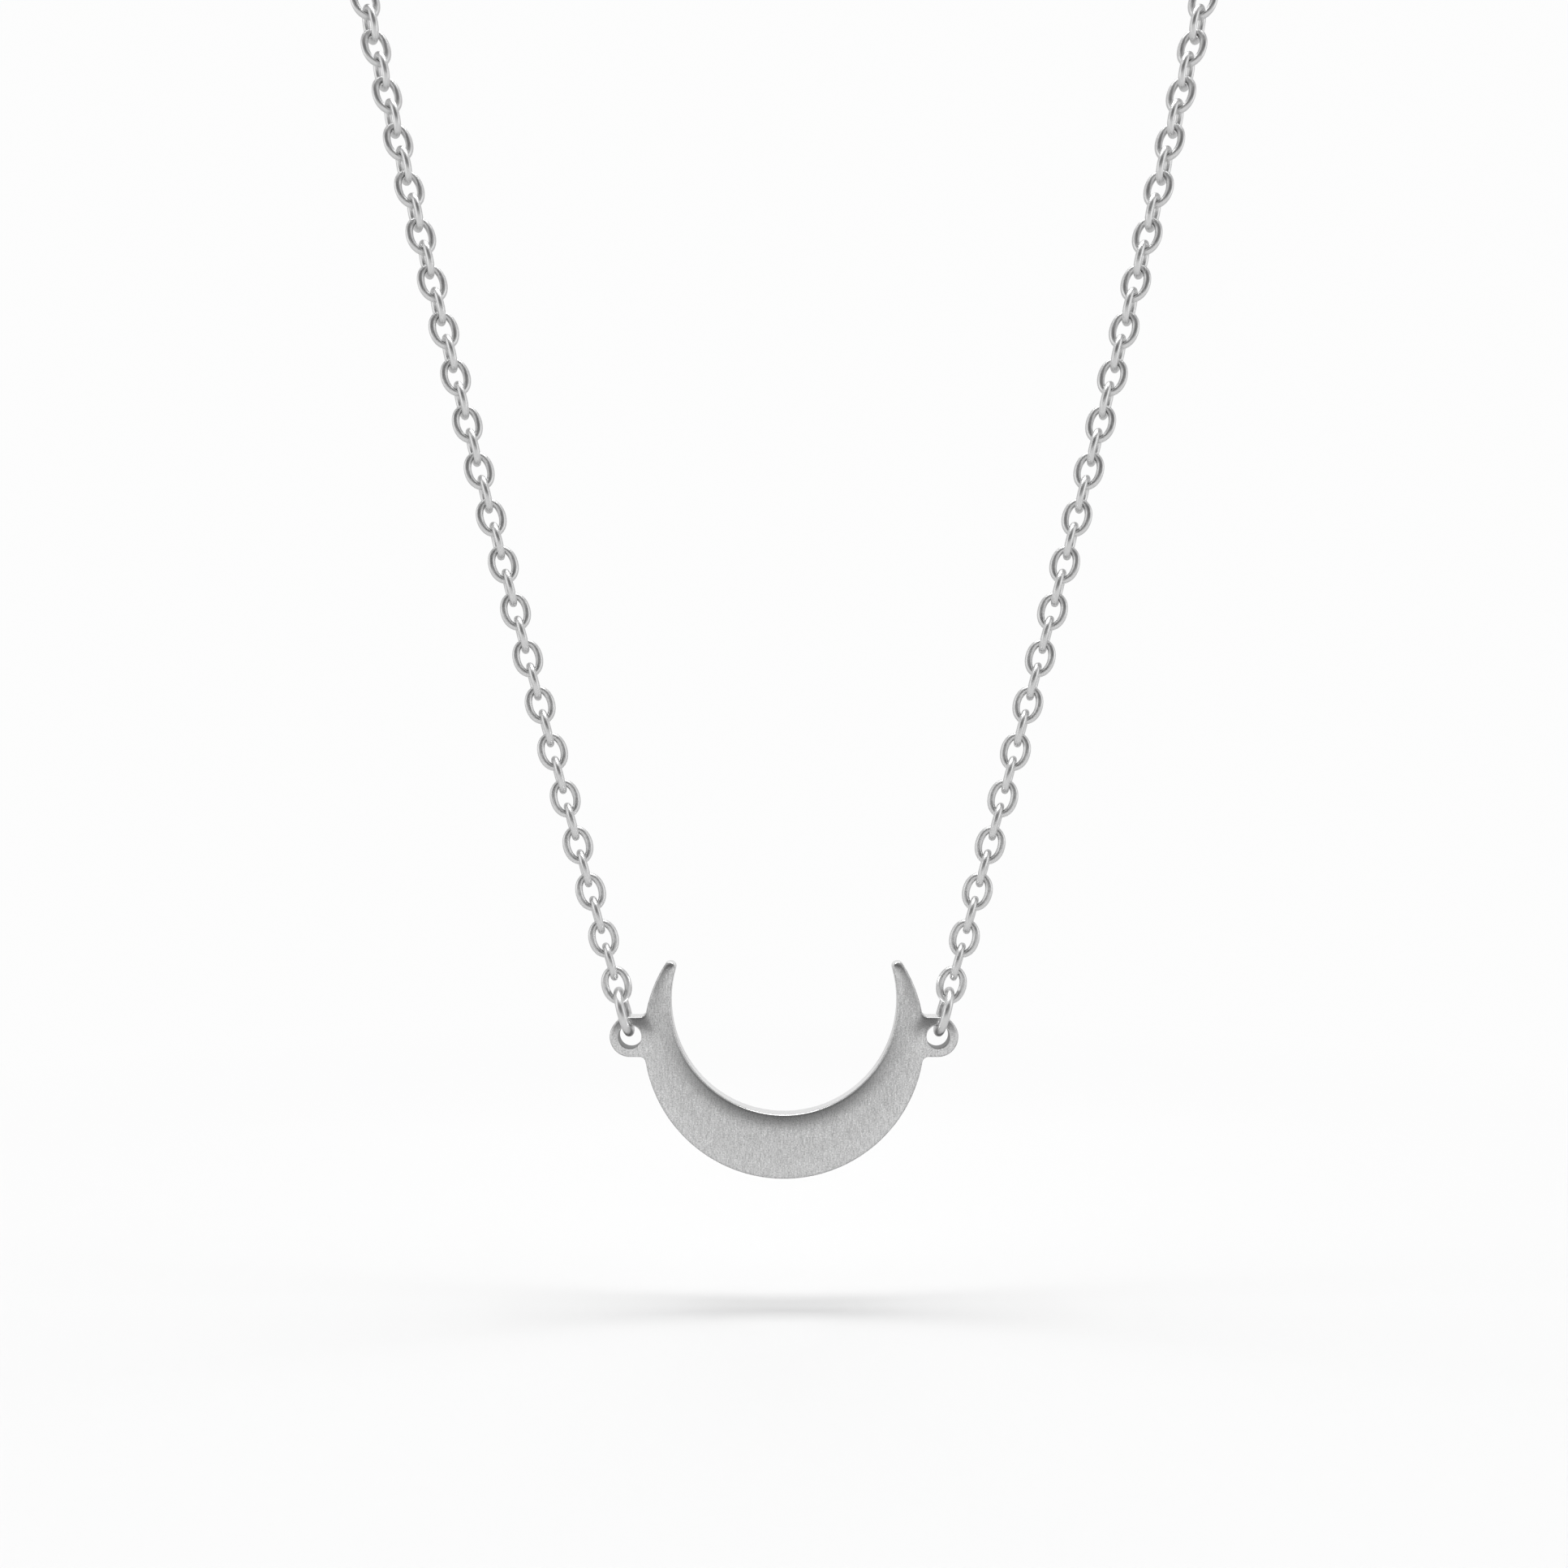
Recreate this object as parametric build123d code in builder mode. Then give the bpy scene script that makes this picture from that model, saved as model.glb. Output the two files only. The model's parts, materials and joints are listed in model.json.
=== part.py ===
"""Crescent moon pendant on a closed loop of oval-link chain, in millimetres.

The loop hangs in the XZ plane with +Z up, and the front of the pendant faces -Y. The origin is where
the neck carries the loop: the underside of the clasp, at its middle.
"""

from build123d import *
from math import asin, atan2, cos, degrees, pi, radians, sin, sqrt, tan
import os

os.makedirs("parts", exist_ok=True)

# The whole loop, measured along the chain, through the clasp and across the pendant
loop_length = 453.0

# Crescent plate, horns up
moon_radius = 10.0
moon_belly = 4.58  # breadth at the bottom
horn_height = 5.44
horn_breadth = 0.80
horn_apex = 0.21  # from a horn's outer corner to its highest point
horn_flat = 0.03  # what is left between the two rounds of a tip
plate_thickness = 1.4
plate_edge = 0.07

# Round eyes at the two sides of the crescent
eye_reach = 0.98  # from the moon's outer edge to the middle of the eye
eye_rise = 0.12  # above the middle of the moon
eye_play = 0.51  # how much the hole's radius is more than the ring wire's
eye_wall = 0.61
eye_blend = 0.45

# End rings, one through each eye
ring_wire = 0.64
ring_play = 0.98  # how much wider the ring's opening is than the plate is thick
ring_seat = 0.04  # left between the wire and the edges of the hole it hangs on
ring_gap = 0.1  # left between the wire and the first link

# Chain links, whose openings take the thickest wire that passes through them
link_wire = 0.52
link_play = 0.482  # how much wider the opening is than that wire
nose_play = 0.12  # how much the radius of an opening's ends is more than that wire's
link_room = 0.632  # between the two neighbours inside one link
link_gap = 0.06

# Barrel clasp with a soldered eye at each end
clasp_length = 7.0
clasp_radius = 1.25
clasp_round = 0.4
clasp_groove = 0.12
clasp_eye_wire = 0.5
clasp_eye_play = 0.52  # how much wider the eye's opening is than a link's wire
clasp_eye_sink = 0.3

# Route of the chain: a long shallow curve up each side, then round the neck
side_turn = 4.93
neck_radius = 39.4
closing_rounds = 12

# Turn of the links about the chain, in degrees, at shares of its length from the ring to the clasp
link_turns = [
    # share, turn
    (0.000, 0.0),
    (0.0125, 11.0),
    (0.06, 12.0),
    (0.14, 14.5),
    (0.22, 21.0),
    (0.31, 30.0),
    (0.36, 31.0),
    (0.80, 0.0),
    (1.00, 0.0),
]

# The hollow's circle runs through the middle of the belly's top and the inner corners of the horns
belly_depth = moon_radius - moon_belly
horn_inside = sqrt(moon_radius**2 - horn_height**2) - horn_breadth
hollow_rise = (horn_inside**2 + horn_height**2 - belly_depth**2) / (2 * (belly_depth + horn_height))
hollow_radius = belly_depth + hollow_rise

# The two rounds of a tip, from the turn that each corner makes
outer_turn = pi / 2 - asin(horn_height / moon_radius)
inner_turn = pi / 2 + asin((horn_height - hollow_rise) / hollow_radius)
horn_outer_round = horn_apex / tan(outer_turn / 2)
horn_inner_round = (horn_breadth - horn_apex - horn_flat) / tan(inner_turn / 2)

eye_offset = moon_radius + eye_reach
eye_hole = ring_wire / 2 + eye_play
eye_radius = eye_hole + eye_wall

# Where the end ring sits: its wire runs through the hole and bears on the hole's upper edges
half_plate = plate_thickness / 2
ring_inside = half_plate + ring_play / 2
ring_middle = ring_inside + ring_wire / 2
wire_tilt = asin(half_plate / ring_middle)
wire_at_face = ring_wire / 2 / cos(wire_tilt)
wire_height = eye_hole - ring_seat - wire_at_face
ring_reach = ring_middle * cos(wire_tilt) + wire_height

# One link, by the middle line of its wire
thick_wire = max(ring_wire, link_wire, clasp_eye_wire)
link_half_width = (thick_wire + link_play + link_wire) / 2
link_nose = (thick_wire + link_wire) / 2 + nose_play
link_pitch = link_room + 2 * link_wire + link_gap

# Where the chain starts on the end ring, from the middle of the eye, and where it meets the clasp
hook_reach = ring_reach + ring_inside - ring_gap + link_gap / 2
clasp_eye_middle = (link_wire + clasp_eye_play + clasp_eye_wire) / 2
clasp_eye_at = clasp_length / 2 + clasp_eye_middle + clasp_eye_wire / 2 - clasp_eye_sink
clasp_hook = clasp_eye_at + clasp_eye_middle - clasp_eye_wire / 2 - link_gap / 2
chain_length = loop_length / 2 - eye_offset - hook_reach - clasp_hook

# The slope at which the sides close the loop at its length, found by putting each result back in
turned = radians(side_turn)
slope = turned
for _ in range(closing_rounds):
    side_length = chain_length - neck_radius * (pi / 2 + slope - turned)
    side_chord = side_length * sin(turned / 2) / (turned / 2)
    start_out = eye_offset + hook_reach * sin(slope)
    neck_out = clasp_hook + neck_radius * cos(slope - turned)
    slope = turned / 2 + asin((neck_out - start_out) / side_chord)

side_radius = side_length / turned
side_end = slope - turned
start_up = hook_reach * cos(slope)
route_top = start_up + side_chord * cos(slope - turned / 2) + neck_radius * (1 + sin(side_end))
eye_height = clasp_radius - route_top
moon_height = eye_height - eye_rise
swing_height = eye_height + (hook_reach - (link_gap + link_wire) / 2) * cos(slope)

# An even number of links brings the last one square to the clasp's eye
link_count = 2 * round(chain_length / (2 * link_pitch))
pitch = chain_length / link_count
link_half_length = (pitch + link_gap + link_wire) / 2

print(f"{2 * link_count} links of pitch {pitch:.4f}, sides leave the rings at {degrees(slope):.2f} degrees")
print(f"middle of the moon at {moon_height:.4f}, line that the drop swings about at {swing_height:.4f}")


def route_point(distance):
    """Outward and upward place on one side's route, and the angle of its run from the vertical."""
    if distance <= side_length:
        angle = slope - distance / side_radius
        out = start_out + side_radius * (cos(angle) - cos(slope))
        up = start_up + side_radius * (sin(slope) - sin(angle))
        return out, up, angle
    angle = side_end - (distance - side_length) / neck_radius
    out = clasp_hook + neck_radius * cos(angle)
    up = route_top - neck_radius * (1 + sin(angle))
    return out, up, angle


def turn_at(share):
    """Turn of a link about the chain, in radians, read from the table of turns."""
    for (low, first), (high, last) in zip(link_turns, link_turns[1:]):
        if share <= high:
            return radians(first + (last - first) * (share - low) / (high - low))
    return radians(link_turns[-1][1])


def link_plane(side, index):
    """The plane that a link lies in: its long way runs along the chain."""
    out, up, angle = route_point((index + 0.5) * pitch)
    along = Vector(side * sin(angle), 0, cos(angle))
    inward = Vector(-side * cos(angle), 0, sin(angle))
    front = Vector(0, -1, 0)
    turn = turn_at((index + 0.5) / link_count)
    if index % 2:
        across = front * cos(turn) + inward * sin(turn)
    else:
        across = inward * cos(turn) - front * sin(turn)
    return Plane(origin=(side * out, 0, eye_height + up), x_dir=across, z_dir=across.cross(along))


def ring_plane(side):
    """The plane that an end ring lies in: it leans with the chain's pull."""
    pull = Vector(side * sin(slope), 0, cos(slope))
    across = Vector(0, -1, 0)
    middle = Vector(side * eye_offset, 0, eye_height) + pull * ring_reach
    return Plane(origin=middle, x_dir=across, z_dir=across.cross(pull))


# Crescent: a disc with the two eyes joined on, then the hollow, the horns' rounded tips and the holes

moon_plane = Plane(origin=(0, 0, moon_height), x_dir=(1, 0, 0), z_dir=(0, -1, 0))
with BuildPart() as crescent:
    with BuildSketch(moon_plane) as outline:
        Circle(moon_radius)
        with Locations((-eye_offset, eye_rise), (eye_offset, eye_rise)):
            Circle(eye_radius)
        with Locations((0, eye_rise)):
            Rectangle(2 * eye_offset, 2 * eye_radius)
        joins = outline.vertices().filter_by(lambda corner: abs(corner.X) < moon_radius)
        fillet(joins, radius=eye_blend)
        with Locations((0, hollow_rise)):
            Circle(hollow_radius, mode=Mode.SUBTRACT)
        with Locations((0, horn_height)):
            Rectangle(2 * moon_radius, moon_radius, align=(Align.CENTER, Align.MIN), mode=Mode.SUBTRACT)
        tips = outline.vertices().group_by(Axis.Y)[-1].sort_by(Axis.X)
        fillet([tips[0], tips[-1]], radius=horn_outer_round)
        tips = outline.vertices().group_by(Axis.Y)[-1].sort_by(Axis.X)
        fillet(tips[1:3], radius=horn_inner_round)
        with Locations((-eye_offset, eye_rise), (eye_offset, eye_rise)):
            Circle(eye_hole, mode=Mode.SUBTRACT)
    extrude(amount=half_plate, both=True)
    fillet(crescent.faces().filter_by(Axis.Y).edges(), radius=plate_edge)
crescent.part.label = "crescent"
export_step(crescent.part, "parts/crescent.step")

# End rings: round wire, one through each eye

for name, side in (("ring_left", -1), ("ring_right", 1)):
    with BuildPart(ring_plane(side)) as ring:
        Torus(ring_middle, ring_wire / 2)
    ring.part.label = name
    export_step(ring.part, f"parts/{name}.step")

# One link: round wire along a four-arc oval, its long way up the page

with BuildPart() as link:
    with BuildLine() as link_line:
        rise = link_half_length - link_nose
        flank = (rise**2 + link_half_width**2 - link_nose**2) / (2 * (link_half_width - link_nose))
        swing = degrees(atan2(rise, flank - link_half_width))
        CenterArc((link_half_width - flank, 0), flank, -swing, 2 * swing)
        CenterArc((0, rise), link_nose, swing, 180 - 2 * swing)
        CenterArc((flank - link_half_width, 0), flank, 180 - swing, 2 * swing)
        CenterArc((0, -rise), link_nose, 180 + swing, 180 - 2 * swing)
    first_arc = link_line.edges()[0]
    with BuildSketch(Plane(origin=first_arc @ 0, z_dir=first_arc % 0)):
        Circle(link_wire / 2)
    sweep()

# Chain: the links of each side, every one a quarter turn from the last and threaded through it

for name, side in (("chain_left", -1), ("chain_right", 1)):
    with BuildPart() as chain:
        with Locations(*[link_plane(side, index) for index in range(link_count)]):
            add(link.part)
    chain.part.label = name
    export_step(chain.part, f"parts/{name}.step")

# Clasp: a plain barrel across the back of the neck, with a wire eye soldered into each end

clasp_plane = Plane(origin=(0, 0, clasp_radius), x_dir=(0, 0, -1), z_dir=(1, 0, 0))
with BuildPart(clasp_plane) as clasp:
    Cylinder(clasp_radius, clasp_length)
    fillet(clasp.edges().filter_by(GeomType.CIRCLE), radius=clasp_round)
    Torus(clasp_radius, clasp_groove, mode=Mode.SUBTRACT)
    with Locations((0, 0, -clasp_eye_at), (0, 0, clasp_eye_at)):
        Torus(clasp_eye_middle, clasp_eye_wire / 2, rotation=(90, 0, 0))
clasp.part.label = "clasp"
export_step(clasp.part, "parts/clasp.step")
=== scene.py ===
# %% [markdown]
# # A crescent moon pendant in satin and polished steel
#
# A flat crescent hangs horns up from two end rings, and the rings hang from a closed loop of small
# oval links. The construction comes ready made as a fixed frame in metres. This lesson dresses it:
# it makes the links and the end rings anew as smooth wire, gives the steel of each piece its own
# finish, lays a pale floor under the moon and lights it as a jeweller's photographer would.
#
# ## The frame
#
# The frame's pieces stay where they are, so the first job is to load them and to note how large
# they are. Blender's own start-up objects go first, because they would be measured with the rest.

# %% Load the frame
import json
from math import cos, pi, radians, sin

import bmesh
import bpy
import numpy as np
from mathutils import Matrix, Vector

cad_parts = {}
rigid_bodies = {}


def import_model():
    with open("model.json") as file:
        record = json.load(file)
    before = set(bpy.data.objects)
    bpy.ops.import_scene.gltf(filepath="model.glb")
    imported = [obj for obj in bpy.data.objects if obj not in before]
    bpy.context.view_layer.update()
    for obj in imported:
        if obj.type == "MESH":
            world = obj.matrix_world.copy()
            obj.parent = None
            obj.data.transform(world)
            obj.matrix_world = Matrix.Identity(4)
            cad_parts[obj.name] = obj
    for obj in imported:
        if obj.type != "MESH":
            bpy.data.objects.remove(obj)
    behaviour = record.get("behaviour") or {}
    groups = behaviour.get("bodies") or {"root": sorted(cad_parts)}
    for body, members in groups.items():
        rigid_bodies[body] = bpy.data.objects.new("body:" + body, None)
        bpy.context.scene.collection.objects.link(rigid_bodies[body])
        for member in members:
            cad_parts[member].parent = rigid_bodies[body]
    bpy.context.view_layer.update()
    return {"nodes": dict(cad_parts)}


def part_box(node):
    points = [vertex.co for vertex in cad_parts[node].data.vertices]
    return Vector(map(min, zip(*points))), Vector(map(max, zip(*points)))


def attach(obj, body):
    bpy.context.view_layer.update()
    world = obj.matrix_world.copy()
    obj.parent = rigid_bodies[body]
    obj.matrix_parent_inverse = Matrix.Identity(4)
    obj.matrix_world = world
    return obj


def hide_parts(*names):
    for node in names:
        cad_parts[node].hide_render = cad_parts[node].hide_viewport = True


for thing in list(bpy.data.objects):
    bpy.data.objects.remove(thing)
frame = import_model()
mm = 0.001

print("pieces in the frame:", sorted(frame["nodes"]))

# %% [markdown]
# ## Where the moon is
#
# Most patterns below belong to the moon's own outline, so they need its middle and its circles. The
# crescent is cut from a round disc, and a smaller circle hollows it. The disc's lowest point and the
# plate's thickness are read from the box of the piece; the circles are sizes of the design.

# %% Read the moon's place
moon_radius = 10.0 * mm
horn_height = 5.44 * mm
hollow_radius = 8.08 * mm
hollow_rise = 2.66 * mm  # of the hollow's middle above the moon's
eye_offset = 10.98 * mm
eye_rise = 0.12 * mm
eye_radius = 1.44 * mm
eye_hole = 0.83 * mm

moon_low, moon_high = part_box("crescent")
plate_thickness = moon_high.y - moon_low.y
moon_height = moon_low.z + moon_radius
moon_middle = Vector((0, 0, moon_height))

print(f"plate {plate_thickness / mm:.2f} mm thick, middle of the moon at {moon_height / mm:.2f} mm")

# %% [markdown]
# ## Camera
#
# The lens stands close, about 11 cm in front of the chain, and looks level. It is as high as the
# middle of the picture, so it sees the moon from a little above and shows the inner edge of the
# hollow and the floor of the eyes' holes. Nothing is out of focus.

# %% Place the camera
camera_distance = 112 * mm
camera_rise = 18.12 * mm  # above the middle of the moon
sensor_width = 36.0  # this and the next in millimetres, as Blender takes them
focal_length = 35.89
nearest_seen = 5 * mm
farthest_seen = 20.0

camera_data = bpy.data.cameras.new("camera")
camera_data.sensor_width = sensor_width
camera_data.lens = focal_length
camera_data.clip_start = nearest_seen
camera_data.clip_end = farthest_seen
camera = bpy.data.objects.new("camera", camera_data)
bpy.context.collection.objects.link(camera)
camera.location = (0, -camera_distance, moon_height + camera_rise)
camera.rotation_euler = (pi / 2, 0, 0)
bpy.context.scene.camera = camera
bpy.context.scene.view_settings.view_transform = "Standard"

print("camera at", [round(part / mm, 1) for part in camera.location], "mm")

# %% [markdown]
# ## Where each link lies
#
# A real chain is made link by link, and every link sits in a place of its own. The frame's two
# chains hold that knowledge: each is 120 loose rings of wire with equally many points, one ring
# after the other. The middle of a ring's points is its place, and the directions in which the
# points spread most and least are its long way and its flat way. Reading these from the frame
# keeps the new links exactly where the old ones are, also when the chain changes.

# %% Read the places of the links
links_a_side = 120
place_decimals = 7  # of a metre, to which two points in one place agree


def points_of(name):
    """The points of a piece of the frame."""
    points = np.zeros(len(frame["nodes"][name].data.vertices) * 3)
    frame["nodes"][name].data.vertices.foreach_get("co", points)
    return points.reshape(-1, 3)


def place_of(points):
    """Where a piece of wire lies: X across it, Y along its longest way and Z through its opening."""
    single = np.unique(points.round(place_decimals), axis=0)  # points on a seam are there twice
    middle = single.mean(axis=0)
    spread = np.linalg.svd(single - middle, full_matrices=False)[2]
    along, across = Vector(spread[0]), Vector(spread[1])
    turn = Matrix((across, along, across.cross(along))).transposed()
    return Matrix.Translation(middle) @ turn.to_4x4()


def size_at(points, place):
    """Width, length and height of a piece that lies at a place."""
    turned = (points - np.array(place.translation)) @ np.array(place.to_3x3())
    return np.ptp(turned, axis=0)


chain_links = {side: np.split(points_of(side), links_a_side) for side in ("chain_left", "chain_right")}
places = {side: [place_of(link) for link in links] for side, links in chain_links.items()}
link_width, link_length, link_wire = size_at(chain_links["chain_left"][0], places["chain_left"][0])

print(f"links {link_width / mm:.3f} by {link_length / mm:.3f} mm, of wire {link_wire / mm:.3f} mm")

# %% [markdown]
# ## One link
#
# The real link is a short length of round wire, bent round an oval former and soldered shut. Two
# gentle arcs make its flanks and two tighter ones its noses. A curve with a bevel could draw it,
# but the chain has hundreds of links, so each needs few faces. Here a six-sided section is spun
# round the four arcs in two steps each, which gives a cage of 48 faces, and a Subdivision Surface
# rounds that off later.
#
# Such a cage shrinks when it is smoothed: a corner keeps two thirds of its reach and takes a sixth
# from each neighbour. So the cage is made larger by that share, in the wire and in the arcs.

# %% Make the cage of one link
wire_sides = 6
arc_steps = 2
link_nose = 0.70 * mm  # radius of the wire's middle line at the noses
weld_reach = link_wire / 100  # points of two arcs that are this close become one


def smoothing_share(step):
    """What smoothing leaves of a round cage's radius, when its corners stand a step apart."""
    return (2 + cos(step)) / 3


half_width = (link_width - link_wire) / 2
half_length = (link_length - link_wire) / 2
rise = half_length - link_nose
flank = (rise**2 + half_width**2 - link_nose**2) / (2 * (half_width - link_nose))
swing = np.arctan2(rise, flank - half_width)
flank_share = smoothing_share(2 * swing / arc_steps)
nose_share = smoothing_share((pi - 2 * swing) / arc_steps)
swell = flank * (1 / flank_share - 1)
section_share = smoothing_share(2 * pi / wire_sides)
section_stretch = 2 / (flank_share + nose_share)  # the section shrinks with the arcs, in their plane

link_cage = bmesh.new()
turn_upright = Matrix.Rotation(pi / 2, 4, "X")
arc_start = Matrix.Translation((half_width - flank, 0, 0)) @ Matrix.Rotation(-swing, 4, "Z")
stretch = Matrix.Scale(section_stretch, 4, (1, 0, 0))
section = arc_start @ Matrix.Translation((flank + swell, 0, 0)) @ stretch @ turn_upright
section_ring = bmesh.ops.create_circle(
    link_cage, segments=wire_sides, radius=link_wire / 2 / section_share, matrix=section
)
moving = section_ring["verts"]
moving += list({edge for vert in section_ring["verts"] for edge in vert.link_edges})
arcs = [
    # middle of the arc, sweep
    ((half_width - flank, 0, 0), 2 * swing),
    ((0, rise, 0), pi - 2 * swing),
    ((flank - half_width, 0, 0), 2 * swing),
    ((0, -rise, 0), pi - 2 * swing),
]
for middle, sweep in arcs:
    spun = bmesh.ops.spin(
        link_cage, geom=moving, cent=middle, axis=(0, 0, 1), angle=sweep, steps=arc_steps
    )
    moving = spun["geom_last"]
bmesh.ops.remove_doubles(link_cage, verts=link_cage.verts, dist=weld_reach)
bmesh.ops.recalc_face_normals(link_cage, faces=link_cage.faces)
link_mesh = bpy.data.meshes.new("link cage")
link_cage.to_mesh(link_mesh)
link_cage.free()

print(f"one link's cage has {len(link_mesh.polygons)} faces")

# %% [markdown]
# The arcs meet in corners of unequal steps, so the shares above are not quite exact. The next cell
# therefore smooths the one link, measures it and scales the cage by what is still missing.

# %% Fit the smooth link to the real one
wire_smoothing = 2


def round_the_wire(thing):
    """A Subdivision Surface with the same level in the viewport and in the render."""
    rounding = thing.modifiers.new("round the wire", "SUBSURF")
    rounding.levels = wire_smoothing
    rounding.render_levels = wire_smoothing


def smooth_size(mesh):
    """Width, length and height of a mesh, once it is smoothed."""
    probe = bpy.data.objects.new("probe", mesh)
    bpy.context.collection.objects.link(probe)
    round_the_wire(probe)
    smooth = probe.evaluated_get(bpy.context.evaluated_depsgraph_get()).data
    points = np.zeros(len(smooth.vertices) * 3)
    smooth.vertices.foreach_get("co", points)
    bpy.data.objects.remove(probe)
    return Vector(np.ptp(points.reshape(-1, 3), axis=0))


before = smooth_size(link_mesh)
link_mesh.transform(Matrix.Diagonal((link_width / before.x, link_length / before.y, 1, 1)))
after = smooth_size(link_mesh)

print(f"smooth link {before.x / mm:.3f} by {before.y / mm:.3f} mm before the fit")
print(f"smooth link {after.x / mm:.3f} by {after.y / mm:.3f} mm after it")

# %% [markdown]
# ## The two runs of chain
#
# Each run of chain is one mesh: the link's cage is added once for each place and moved there. The
# mesh stays light, and the Subdivision Surface modifier makes the wire round, with the same level
# in the viewport and in the render. The end rings need the same last steps, so a helper does them.

# %% Make the chains


def piece_of_wire(name, form):
    """A smooth piece from a finished bmesh, put in the scene with its wire rounded off."""
    mesh = bpy.data.meshes.new(name)
    form.to_mesh(mesh)
    form.free()
    mesh.shade_smooth()
    piece = bpy.data.objects.new(name, mesh)
    bpy.context.collection.objects.link(piece)
    round_the_wire(piece)
    return piece


def make_chain(name, side):
    """A run of links in the places that the frame's chain gives."""
    links = bmesh.new()
    for place in places[side]:
        first = len(links.verts)
        links.from_mesh(link_mesh)
        links.verts.ensure_lookup_table()
        bmesh.ops.transform(links, matrix=place, verts=links.verts[first:])
    chain = piece_of_wire(name, links)
    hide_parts(side)
    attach(chain, "necklace")
    return chain


chains = [make_chain("links_left", "chain_left"), make_chain("links_right", "chain_right")]

for chain in chains:
    smooth = chain.evaluated_get(bpy.context.evaluated_depsgraph_get()).data
    triangles = 2 * len(smooth.polygons)  # every smooth face has four corners
    print(chain.name, len(chain.data.polygons), "faces in the cage,", triangles, "triangles")

# %% [markdown]
# ## The two end rings
#
# The end rings are bent from thicker wire. Their form in the frame is already round, but a seam
# runs across it at the front, where a polished surface would show it. So each ring is spun anew in
# its own place: a round section goes once round the ring's middle in even steps, and the same
# smoothing as before rounds it off. The share that smoothing takes is given back here too.

# %% Make the end rings
ring_sides = 16
ring_steps = 48


def make_ring(name, side):
    """A smooth ring of wire in the place of one of the frame's rings."""
    points = points_of(side)
    place = place_of(points)
    across, along, wire = size_at(points, place)
    step_share = smoothing_share(2 * pi / ring_steps)
    middle_line = ((across + along) / 2 - wire) / 2 / step_share
    ring = bmesh.new()
    stretch = Matrix.Scale(1 / step_share, 4, (1, 0, 0))
    section = Matrix.Translation((middle_line, 0, 0)) @ stretch @ turn_upright
    wire_radius = wire / 2 / smoothing_share(2 * pi / ring_sides)
    bmesh.ops.create_circle(ring, segments=ring_sides, radius=wire_radius, matrix=section)
    outline = ring.verts[:] + ring.edges[:]
    bmesh.ops.spin(
        ring, geom=outline, axis=(0, 0, 1), angle=2 * pi, steps=ring_steps, use_merge=True
    )
    bmesh.ops.recalc_face_normals(ring, faces=ring.faces)
    bmesh.ops.transform(ring, matrix=place, verts=ring.verts)
    thing = piece_of_wire(name, ring)
    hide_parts(side)
    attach(thing, "drop")
    faces = len(thing.data.polygons)
    print(f"{name}: {along / mm:.3f} mm across, of wire {wire / mm:.3f} mm, {faces} faces")
    return thing


rings = [make_ring("end_ring_left", "ring_left"), make_ring("end_ring_right", "ring_right")]
for ring in rings:
    print(ring.name, "after smoothing", [round(side / mm, 3) for side in smooth_size(ring.data)])

# %% [markdown]
# ## Helpers for materials
#
# Every finish below is a small tree of nodes, and a few helpers keep the trees short to read. One
# starts a material with its shader, one adds a node with its settings, and one makes a group with
# named inputs and outputs. The others each add a node that comes back again and again: a sum, a
# value carried from one range to another, a blend of two values, a noise and a distance.

# %% Define the helpers


def new_material(name, **sockets):
    """A material with a Principled BSDF whose sockets have these constant values."""
    material = bpy.data.materials.new(name)
    material.use_nodes = True
    shader = material.node_tree.nodes["Principled BSDF"]
    for socket, value in sockets.items():
        shader.inputs[socket.replace("_", " ")].default_value = value
    return material, material.node_tree, shader


def add(tree, kind, inputs=None, **settings):
    """A node of a kind. Each input takes a value or another node's output."""
    node = tree.nodes.new(kind)
    for name, value in settings.items():
        setattr(node, name, value)
    for name, value in (inputs or {}).items():
        if isinstance(value, bpy.types.NodeSocket):
            tree.links.new(value, node.inputs[name])
        else:
            node.inputs[name].default_value = value
    return node


def new_group(name, inputs, outputs):
    """A shader node group, with the node that gives its inputs and the one that takes its outputs."""
    group = bpy.data.node_groups.new(name, "ShaderNodeTree")
    for socket, kind in inputs.items():
        group.interface.new_socket(socket, in_out="INPUT", socket_type=f"NodeSocket{kind}")
    for socket, kind in outputs.items():
        group.interface.new_socket(socket, in_out="OUTPUT", socket_type=f"NodeSocket{kind}")
    return group, group.nodes.new("NodeGroupInput"), group.nodes.new("NodeGroupOutput")


def math(tree, operation, first, second=0.0):
    """The result of one sum."""
    return add(tree, "ShaderNodeMath", {0: first, 1: second}, operation=operation).outputs[0]


def rescale(tree, value, reads, gives, kind="LINEAR"):
    """A value carried from the range that is read to the range that is given, and held at its ends."""
    inputs = {"Value": value}
    inputs["From Min"], inputs["From Max"] = reads
    inputs["To Min"], inputs["To Max"] = gives
    return add(tree, "ShaderNodeMapRange", inputs, interpolation_type=kind).outputs[0]


def blend_by(tree, mask, first, second):
    """One value where the mask is 0 and another where it is 1."""
    return rescale(tree, mask, (0.0, 1.0), (first, second))


def noise(tree, place, scale, detail=2.0, crispness=0.5):
    """A cloudy grey. The scale sets how many clouds a metre has, and detail adds finer ones."""
    inputs = {"Vector": place, "Scale": scale, "Detail": detail, "Roughness": crispness}
    return add(tree, "ShaderNodeTexNoise", inputs).outputs[0]


def distance_to(tree, point, middle):
    """How far a point lies from a middle."""
    node = add(tree, "ShaderNodeVectorMath", {0: point, 1: middle}, operation="DISTANCE")
    return node.outputs["Value"]


print("helpers ready")

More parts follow.
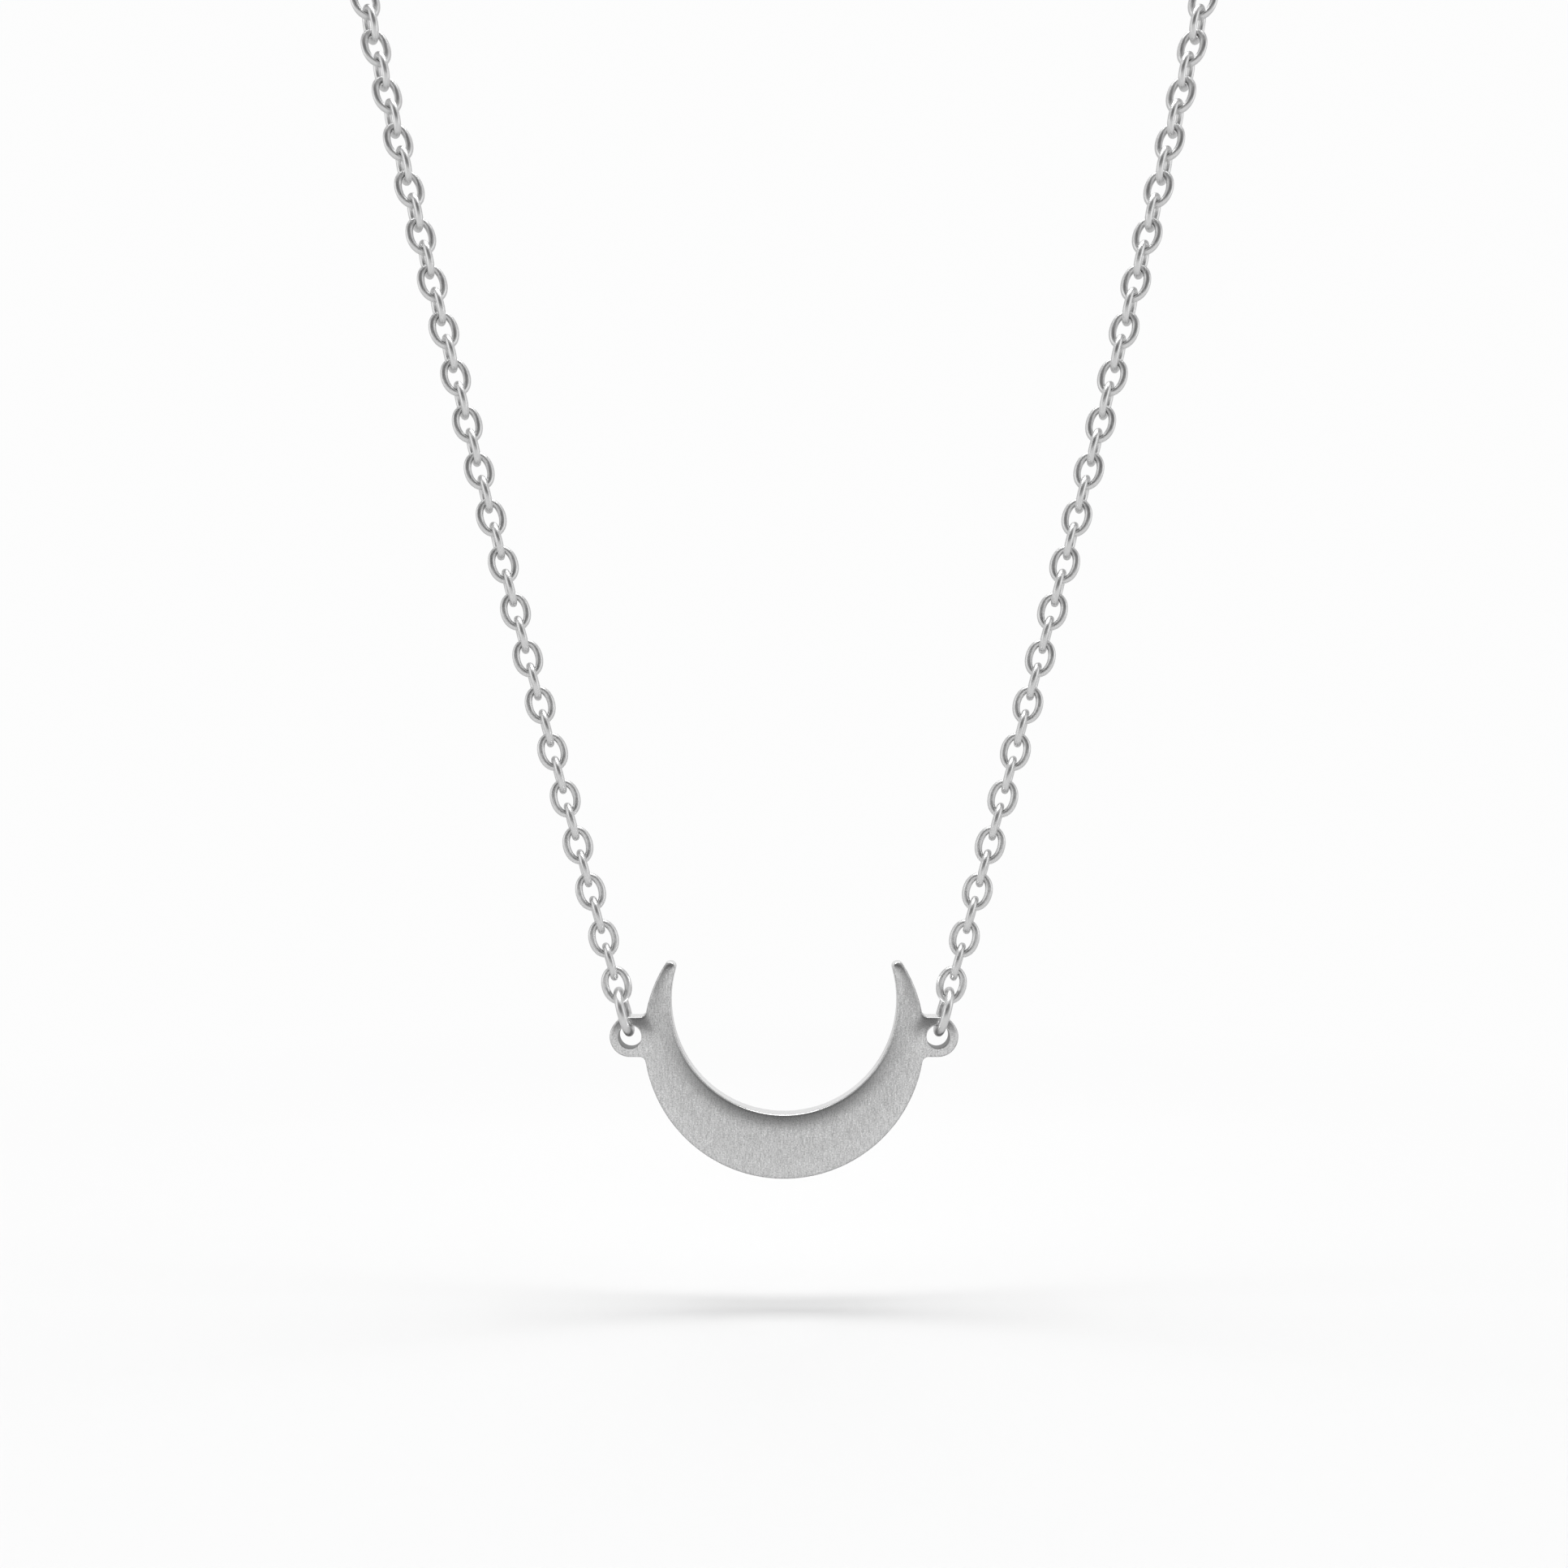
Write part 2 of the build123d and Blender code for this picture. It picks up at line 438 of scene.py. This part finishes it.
# %% [markdown]
# ## A shared effect: hand polish
#
# Polished steel is never a perfect mirror. Tumbling leaves the surface very slightly wavy, and
# wear adds fine scratches that show as a change in gloss. One node group makes both for every
# polished piece: it puts out a height for a Bump node and a roughness that wanders between two
# values. Links, rings and clasp use both outputs, and the moon's edges use the roughness alone.

# %% Build the hand polish group
wave_detail = 2.0
scratch_turn = (0.3, 0.5, 0.2)  # in radians, so that the scratches follow no axis
scratch_stretch = (1.0, 1.0, 0.15)
scratch_detail = 3.0
scratch_crispness = 0.7
scratch_range = (0.35, 0.7)  # the part of the noise that spreads over both roughnesses
scratch_height = 0.08  # beside waves of 1

polish_inputs = {
    "Vector": "Vector",
    "Waves per metre": "Float",
    "Scratches per metre": "Float",
    "Low roughness": "Float",
    "High roughness": "Float",
}
polish_outputs = {"Height": "Float", "Roughness": "Float"}
polish, polish_in, polish_out = new_group("hand polish", polish_inputs, polish_outputs)
place = polish_in.outputs["Vector"]
waves = noise(polish, place, polish_in.outputs["Waves per metre"], wave_detail)
drawn_out = add(
    polish, "ShaderNodeMapping", {"Vector": place, "Rotation": scratch_turn, "Scale": scratch_stretch}
).outputs[0]
scratches = noise(
    polish, drawn_out, polish_in.outputs["Scratches per metre"], scratch_detail, scratch_crispness
)
both_roughnesses = (polish_in.outputs["Low roughness"], polish_in.outputs["High roughness"])
wander = rescale(polish, scratches, scratch_range, both_roughnesses)
fine = math(polish, "MULTIPLY", scratches, scratch_height)
polish.links.new(math(polish, "ADD", waves, fine), polish_out.inputs["Height"])
polish.links.new(wander, polish_out.inputs["Roughness"])


def polished_skin(tree, place, waves_per_metre, scratches_per_metre, roughness):
    """The hand polish group, placed in a material with its own values."""
    values = {
        "Vector": place,
        "Waves per metre": waves_per_metre,
        "Scratches per metre": scratches_per_metre,
    }
    values["Low roughness"], values["High roughness"] = roughness
    return add(tree, "ShaderNodeGroup", values, node_tree=polish)


print("group", polish.name, "with", len(polish.nodes), "nodes")

# %% [markdown]
# ## Polished wire
#
# Links and rings are drawn stainless wire, tumbled to a soft shine. That is no clean mirror: it
# blurs the studio into light and dark bands along the wire, so most of its look still comes from
# the lights. The wire of the rings is thicker, so its waves are longer.

# %% Polished steel for links and rings
wire_grey = 0.72
wave_depth = 0.03 * mm


def polished_steel(name, waves_per_metre, scratches_per_metre, roughness):
    """A softly shining steel with the hand polish's waves and scratches."""
    material, tree, shader = new_material(
        name, Metallic=1.0, Base_Color=(wire_grey, wire_grey, wire_grey, 1.0)
    )
    place = add(tree, "ShaderNodeTexCoord").outputs["Object"]
    skin = polished_skin(tree, place, waves_per_metre, scratches_per_metre, roughness)
    bump = add(tree, "ShaderNodeBump", {"Height": skin.outputs["Height"], "Distance": wave_depth})
    tree.links.new(skin.outputs["Roughness"], shader.inputs["Roughness"])
    tree.links.new(bump.outputs[0], shader.inputs["Normal"])
    return material


link_steel = polished_steel(
    "polished link wire", waves_per_metre=1400.0, scratches_per_metre=9000.0, roughness=(0.32, 0.46)
)
ring_steel = polished_steel(
    "polished ring wire", waves_per_metre=1000.0, scratches_per_metre=8000.0, roughness=(0.30, 0.44)
)
for chain in chains:
    chain.data.materials.append(link_steel)
for ring in rings:
    ring.data.materials.append(ring_steel)

print("polished:", [material.name for material in (link_steel, ring_steel)])

# %% [markdown]
# ## Turned clasp
#
# The clasp's barrel is turned from rod, so beside the hand polish it keeps the fine rings that a
# tool leaves. They run round the barrel, which lies across the neck. A wave texture banded along
# that direction gives them, a little distorted so that no two rings are alike. The pattern covers
# the whole piece, so it also crosses the small wire eyes at the barrel's ends, which a maker would
# leave plain.

# %% Turned steel for the clasp
clasp_grey = 0.70
mark_spacing = 0.09 * mm
mark_depth = 0.004 * mm
mark_wobble = 1.5
mark_detail = 2.0
band_spacing = 2 * pi / 20  # of a wave texture with a scale of 1

clasp_steel, tree, shader = new_material(
    "turned clasp steel", Metallic=1.0, Base_Color=(clasp_grey, clasp_grey, clasp_grey, 1.0)
)
place = add(tree, "ShaderNodeTexCoord").outputs["Object"]
skin = polished_skin(
    tree, place, waves_per_metre=700.0, scratches_per_metre=6000.0, roughness=(0.20, 0.34)
)
turning = add(
    tree,
    "ShaderNodeTexWave",
    {
        "Vector": place,
        "Scale": band_spacing / mark_spacing,
        "Distortion": mark_wobble,
        "Detail": mark_detail,
    },
    bands_direction="X",
).outputs["Fac"]
marks_height = math(tree, "MULTIPLY", turning, mark_depth)
waves_height = math(tree, "MULTIPLY", skin.outputs["Height"], wave_depth)
height = math(tree, "ADD", marks_height, waves_height)
bump = add(tree, "ShaderNodeBump", {"Height": height, "Distance": 1.0})
tree.links.new(skin.outputs["Roughness"], shader.inputs["Roughness"])
tree.links.new(bump.outputs[0], shader.inputs["Normal"])
frame["nodes"]["clasp"].material_slots[0].material = clasp_steel

print(f"turning marks {mark_spacing / mm:.2f} mm apart on", clasp_steel.name)

# %% [markdown]
# ## Satin face, polished edge
#
# The crescent's two faces are brushed and then softly blasted, which leaves a grey satin with a
# fine mottled grain. Its edge is polished bright all round. Near the outline the polishing wheel
# has drawn the face down a little, so that the face turns away towards its edges.
#
# One material does both finishes. Depth in the plate tells face from edge, because every point of
# a face lies at the full thickness. Distance from the outline gives the drawn-down edges: it is
# worked out from the design's circles, so it follows the outline without any painted map. The eye
# has a straight neck, so it counts as a circle outward of its middle and as a band inward of it.

# %% Measure the distance from the outline
roll_width = 1.44 * mm  # of the broad roll that the wheel leaves
roll_depth = 0.18 * mm
edge_width = 0.22 * mm  # of the narrow one at the very edge
edge_depth = 0.05 * mm
roll_power = 2.0
soft_corner = 0.8 * mm

satin, tree, shader = new_material("satin crescent steel", Metallic=1.0)
place = add(tree, "ShaderNodeTexCoord").outputs["Object"]
on_moon = add(tree, "ShaderNodeMapping", {"Vector": place, "Location": tuple(-moon_middle)}).outputs[0]
parts = add(tree, "ShaderNodeSeparateXYZ", {"Vector": on_moon})
sideways = math(tree, "ABSOLUTE", parts.outputs["X"])
flat = add(tree, "ShaderNodeCombineXYZ", {"X": sideways, "Z": parts.outputs["Z"]}).outputs[0]


def soft_pick(tree, operation, first, second):
    """The larger or the smaller of two distances, with a soft change from one to the other."""
    inputs = {0: first, 1: second, 2: soft_corner}
    return add(tree, "ShaderNodeMath", inputs, operation=operation).outputs[0]


from_hollow = math(tree, "SUBTRACT", distance_to(tree, flat, (0, 0, hollow_rise)), hollow_radius)
from_rim = math(tree, "SUBTRACT", moon_radius, distance_to(tree, flat, (0, 0, 0)))
past_eye = math(tree, "MAXIMUM", math(tree, "SUBTRACT", sideways, eye_offset), 0.0)
on_neck = add(tree, "ShaderNodeCombineXYZ", {"X": past_eye, "Z": parts.outputs["Z"]}).outputs[0]
from_eye = math(tree, "SUBTRACT", eye_radius, distance_to(tree, on_neck, (0, 0, eye_rise)))
from_tip = math(tree, "SUBTRACT", horn_height, parts.outputs["Z"])
from_outside = soft_pick(tree, "SMOOTH_MAX", from_rim, from_eye)
from_sides = soft_pick(tree, "SMOOTH_MIN", from_hollow, from_outside)
from_outline = soft_pick(tree, "SMOOTH_MIN", from_sides, from_tip)


def roll_off(tree, distance, width, depth):
    """A height that falls away over the last stretch before the outline, steepest at the end."""
    near = rescale(tree, distance, (0.0, width), (1.0, 0.0))
    return math(tree, "MULTIPLY", math(tree, "POWER", near, roll_power), -depth)


wheel_roll = roll_off(tree, from_outline, roll_width, roll_depth)
edge_roll = roll_off(tree, from_outline, edge_width, edge_depth)
drawn_down = math(tree, "ADD", wheel_roll, edge_roll)

print(f"the face is drawn down over its last {roll_width / mm:.1f} mm")

# %% [markdown]
# The grain has two layers. A round noise gives the mottling of the blast, and a noise drawn out
# upright gives the faint brush strokes under it. Both change the height, the gloss and the grey of
# the steel. The eyes' holes are drilled and no polishing wheel reaches into them, so their walls
# stay dull, and their grey is painted dark as painted shade inside the holes.

# %% Give the face its grain
face_grey = (0.42, 0.95)  # where the grain is low and where it is high
face_roughness = (0.42, 0.24)  # at the same two
wall_grey = 0.86
# the holes' grey below is painted shade: the walls of the eyes' holes are painted dark for the shade
# inside them
hole_painted_shade_grey = 0.20
hole_roughness = 0.38
half_plate = plate_thickness / 2
face_sets_in = 0.05 * mm  # depth below the face at which the face's finish begins
face_full = 0.01 * mm  # depth above which it is complete
# these two distances bound the holes' painted shade as well as their dull finish
hole_full = 0.01 * mm  # distance outside the hole's wall up to which its dull finish is complete
hole_ends = 0.06 * mm  # distance at which it ends
mottles_per_metre = 10000.0
strokes_per_metre = 9000.0
stroke_lean = (0, 0.06, 0)  # in radians
stroke_stretch = (1, 1, 0.25)
stroke_share = 0.35  # of the strokes in the grain
grain_crispness = 0.6
grain_range = (0.3, 0.7)  # the part of the noise that spreads over both greys
grain_depth = 0.008 * mm

face = rescale(
    tree,
    math(tree, "ABSOLUTE", parts.outputs["Y"]),
    (half_plate - face_sets_in, half_plate - face_full),
    (0.0, 1.0),
    "SMOOTHSTEP",
)
mottle = noise(tree, on_moon, mottles_per_metre, crispness=grain_crispness)
strokes_way = add(
    tree, "ShaderNodeMapping", {"Vector": on_moon, "Rotation": stroke_lean, "Scale": stroke_stretch}
).outputs[0]
strokes = noise(tree, strokes_way, strokes_per_metre, crispness=grain_crispness)
grain = blend_by(tree, stroke_share, mottle, strokes)
grey = rescale(tree, grain, grain_range, face_grey)
gloss = rescale(tree, grain, grain_range, face_roughness)
from_hole = distance_to(tree, flat, (eye_offset, 0, eye_rise))
# mask of the holes' walls, which carries their dull roughness and their painted shade
in_hole_dull_and_painted_shade = rescale(tree, from_hole, (eye_hole + hole_full, eye_hole + hole_ends), (1.0, 0.0))
skin = polished_skin(
    tree, on_moon, waves_per_metre=900.0, scratches_per_metre=7000.0, roughness=(0.16, 0.28)
)
# the edge's grey, painted dark on the holes' walls as painted shade
edge_grey_and_hole_shade = blend_by(tree, in_hole_dull_and_painted_shade, wall_grey, hole_painted_shade_grey)
edge_gloss = blend_by(tree, in_hole_dull_and_painted_shade, skin.outputs["Roughness"], hole_roughness)
both_greys = blend_by(tree, face, edge_grey_and_hole_shade, grey)
both_glosses = blend_by(tree, face, edge_gloss, gloss)
grain_height = math(tree, "MULTIPLY", math(tree, "MULTIPLY", grain, face), grain_depth)
height = math(tree, "ADD", drawn_down, grain_height)
bump = add(tree, "ShaderNodeBump", {"Height": height, "Distance": 1.0})
tree.links.new(both_greys, shader.inputs["Base Color"])
tree.links.new(both_glosses, shader.inputs["Roughness"])
tree.links.new(bump.outputs[0], shader.inputs["Normal"])
frame["nodes"]["crescent"].material_slots[0].material = satin

print("satin face and polished edge:", len(tree.nodes), "nodes")

# %% [markdown]
# ## Floor
#
# A wide pale sheet lies under the hanging moon. It takes the soft shadow, and the moon's face
# mirrors it. Away from the moon the sheet goes over into an even white, as paper does that curves
# up behind a product, so no horizon shows.

# %% Lay the floor
floor_drop = 19.1 * mm  # below the middle of the moon
floor_reach = 6.0
floor_sides = 64
paper_roughness = 0.9
paper_white = 0.98  # how bright the far paper is to the camera
paper_near = 0.748  # what the paper gives back near the moon
paper_in_steel = (0.88, 0.70)  # how much of both the steel mirrors, in front of it and behind it
fade_start = 30 * mm
fade_end = 140 * mm

floor_form = bmesh.new()
bmesh.ops.create_circle(floor_form, cap_ends=True, segments=floor_sides, radius=floor_reach)
floor_mesh = bpy.data.meshes.new("floor")
floor_form.to_mesh(floor_mesh)
floor_form.free()
floor = bpy.data.objects.new("floor", floor_mesh)
floor.location = (0, 0, moon_height - floor_drop)
bpy.context.collection.objects.link(floor)

paper, tree, shader = new_material("white paper", Roughness=paper_roughness, Specular_IOR_Level=0.0)
spot = add(tree, "ShaderNodeTexCoord").outputs["Object"]
depth = add(tree, "ShaderNodeSeparateXYZ", {"Vector": spot}).outputs["Y"]
in_steel = rescale(tree, depth, (-fade_start, fade_start), paper_in_steel)
seen = add(tree, "ShaderNodeLightPath").outputs["Is Camera Ray"]
dimming = blend_by(tree, seen, in_steel, 1.0)
near_white = math(tree, "MULTIPLY", dimming, paper_near)
far_white = math(tree, "MULTIPLY", dimming, paper_white)
tree.links.new(near_white, shader.inputs["Base Color"])
away = distance_to(tree, spot, (0, 0, 0))
far = rescale(tree, away, (fade_start, fade_end), (0.0, 1.0), "SMOOTHSTEP")
glow = add(tree, "ShaderNodeEmission", {"Strength": far_white})
blend = add(tree, "ShaderNodeMixShader", {0: far, 1: shader.outputs[0], 2: glow.outputs[0]})
tree.links.new(blend.outputs[0], tree.nodes["Material Output"].inputs["Surface"])
floor.data.materials.append(paper)

print(f"floor {floor_drop / mm:.1f} mm below the middle of the moon")

# %% [markdown]
# ## Softboxes
#
# The photograph shows soft, even light. A softbox overhead makes the shadow and the bright upper
# edges, and two weaker ones stand at the sides, a little in front of the moon.

# %% Set the softboxes
softboxes = [
    # name, place from the middle of the moon, width, height, brightness of the surface
    ("overhead", (0, 0.02, 0.42), 0.34, 0.16, 9.0),
    ("left side", (-0.45, -0.10, 0.05), 0.25, 0.5, 0.8),
    ("right side", (0.45, -0.10, 0.05), 0.25, 0.5, 0.8),
]


def set_softbox(name, offset, width, height, brightness):
    """A soft area light that faces the middle of the moon."""
    data = bpy.data.lights.new(name, "AREA")
    data.shape = "RECTANGLE"
    data.size = width
    data.size_y = height
    data.energy = brightness * pi * width * height
    light = bpy.data.objects.new(name, data)
    place = moon_middle + Vector(offset)
    light.location = place
    light.rotation_euler = (moon_middle - place).to_track_quat("-Z", "Y").to_euler()
    bpy.context.collection.objects.link(light)


for box in softboxes:
    set_softbox(*box)

# %% [markdown]
# ## Tent
#
# Round everything stands a white tent with a gap for the lens, and the steel mirrors both. The gap
# is dark and wider than it is high, and its reflection draws the thin dark lines along the wire and
# the dark upper edges of the moon's face. The tent is brightest straight behind, where the walls
# of the hollow mirror it, and greyer at the sides, which keeps the wire darker than the paper. A
# background shader with a few nodes for direction does this without any geometry.

# %% Pitch the tent
tent_grey = 0.62
tent_behind = 0.85
tent_turns = (0.5, 0.95)  # share of a direction that points backwards, where the tent brightens
gap_grey = 0.1
gap_rise = radians(22.0)
gap_inner = radians(18.0)
gap_outer = radians(40.0)
gap_squeeze = 0.6  # height of the gap over its width

world = bpy.data.worlds.new("white tent")
world.use_nodes = True
bpy.context.scene.world = world
sky = world.node_tree
sky.nodes.clear()
way = add(sky, "ShaderNodeTexCoord").outputs["Generated"]
behind = add(sky, "ShaderNodeSeparateXYZ", {"Vector": way}).outputs["Y"]
tent_here = rescale(sky, behind, tent_turns, (tent_grey, tent_behind))
gap_way = (0, -cos(gap_rise), sin(gap_rise))
squeezed = add(
    sky, "ShaderNodeVectorMath", {0: way, 1: (gap_squeeze, 1, 1)}, operation="MULTIPLY"
).outputs[0]
pointing = add(sky, "ShaderNodeVectorMath", {0: squeezed}, operation="NORMALIZE").outputs[0]
towards_gap = add(
    sky, "ShaderNodeVectorMath", {0: pointing, 1: gap_way}, operation="DOT_PRODUCT"
).outputs["Value"]
gap_border = (cos(gap_outer), cos(gap_inner))
tent = rescale(sky, towards_gap, gap_border, (tent_here, gap_grey), "SMOOTHSTEP")
seen = add(sky, "ShaderNodeLightPath").outputs["Is Camera Ray"]
brightness = blend_by(sky, seen, tent, paper_white)
background = add(sky, "ShaderNodeBackground", {"Color": (1, 1, 1, 1), "Strength": brightness})
add(sky, "ShaderNodeOutputWorld", {"Surface": background.outputs[0]})

print("tent with", len(sky.nodes), "nodes")
